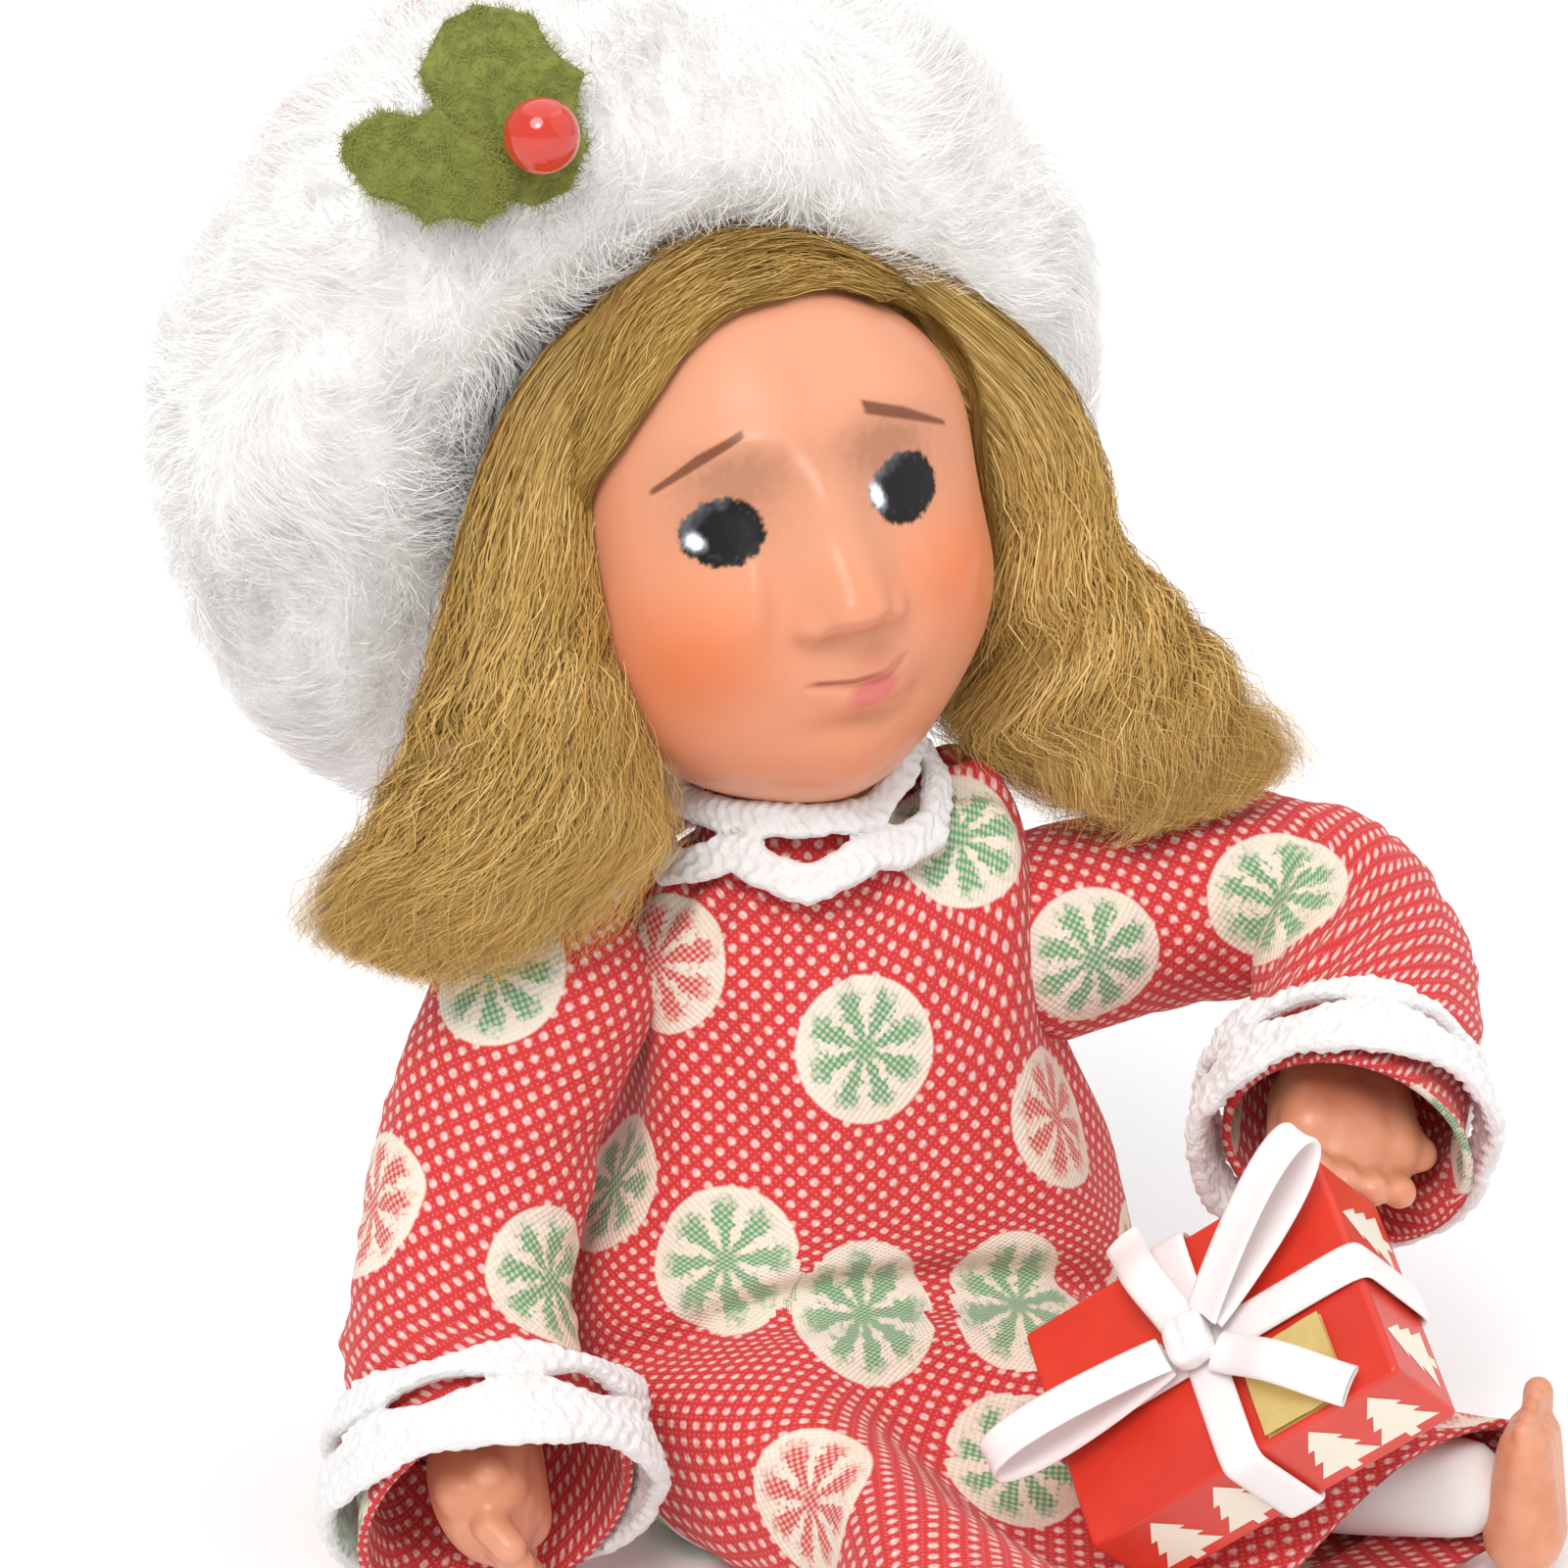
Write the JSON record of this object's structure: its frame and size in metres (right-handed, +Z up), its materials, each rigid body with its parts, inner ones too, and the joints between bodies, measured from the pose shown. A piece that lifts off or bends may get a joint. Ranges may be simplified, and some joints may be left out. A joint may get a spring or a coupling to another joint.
{
  "type": "seated caroler figurine",
  "caption": "Seated child caroler doll with a big clay head, long wavy hair, fur-brimmed hat with felt holly, lace-trimmed cotton nightgown and a ribboned gift in one hand.",
  "frame": {"origin": "on the floor under the spine wire, on the flat underside of the nightgown", "axes": "+Z up, the figure faces -Y and its left side is +X"},
  "size_m": [0.1062, 0.118, 0.1335],
  "materials": {
    "wire": "drawn",
    "padding": "crumpled",
    "clay": "painted, satin",
    "cotton": "printed cotton",
    "lace": "crochet",
    "hair": "mohair",
    "fur": "long pile",
    "felt": "felt",
    "bead": "gloss",
    "carton": "printed wrap",
    "ribbon": "satin",
    "foil": "gold foil"
  },
  "bodies": {
    "trunk": {"nightgown": "cotton", "body_wire": "wire", "torso_padding": "padding", "leg_padding_right": "padding", "leg_padding_left": "padding", "foot_right": "clay", "foot_left": "clay", "collar_lace": "lace"},
    "head_and_hat": {"head": "clay", "hair_cap": "hair", "hair_lock_right": "hair", "hair_lock_left": "hair", "hat_brim": "fur", "hat_crown": "cotton", "holly_leaf_large": "felt", "holly_leaf_small": "felt", "holly_berry": "bead"},
    "right_arm": {"sleeve_right": "cotton", "arm_wire_right": "wire", "arm_padding_right": "padding", "cuff_lace_right": "lace", "hand_right": "clay"},
    "left_arm": {"sleeve_left": "cotton", "arm_wire_left": "wire", "arm_padding_left": "padding", "cuff_lace_left": "lace", "hand_left": "clay", "gift_box": "carton", "gift_ribbon": "ribbon", "gift_foil": "foil", "bow_knot": "ribbon", "bow_loop_low": "ribbon", "bow_loop_high": "ribbon", "bow_tail_upper": "ribbon", "bow_tail_lower": "ribbon"}
  },
  "joints": [
    {"name": "neck_turn", "type": "hinge", "parent": "trunk", "child": "head_and_hat", "pos_m": [0, 0, 0.06], "axis": [0, 0, 1], "range_deg": [-12, 12]},
    {"name": "right_shoulder", "type": "hinge", "parent": "trunk", "child": "right_arm", "pos_m": [-0.0225, 0, 0.0475], "axis": [-1, 0, 0], "range_deg": [0, 25]},
    {"name": "left_shoulder", "type": "hinge", "parent": "trunk", "child": "left_arm", "pos_m": [0.0225, 0, 0.0475], "axis": [-1, 0, 0], "range_deg": [0, 20]}
  ]
}
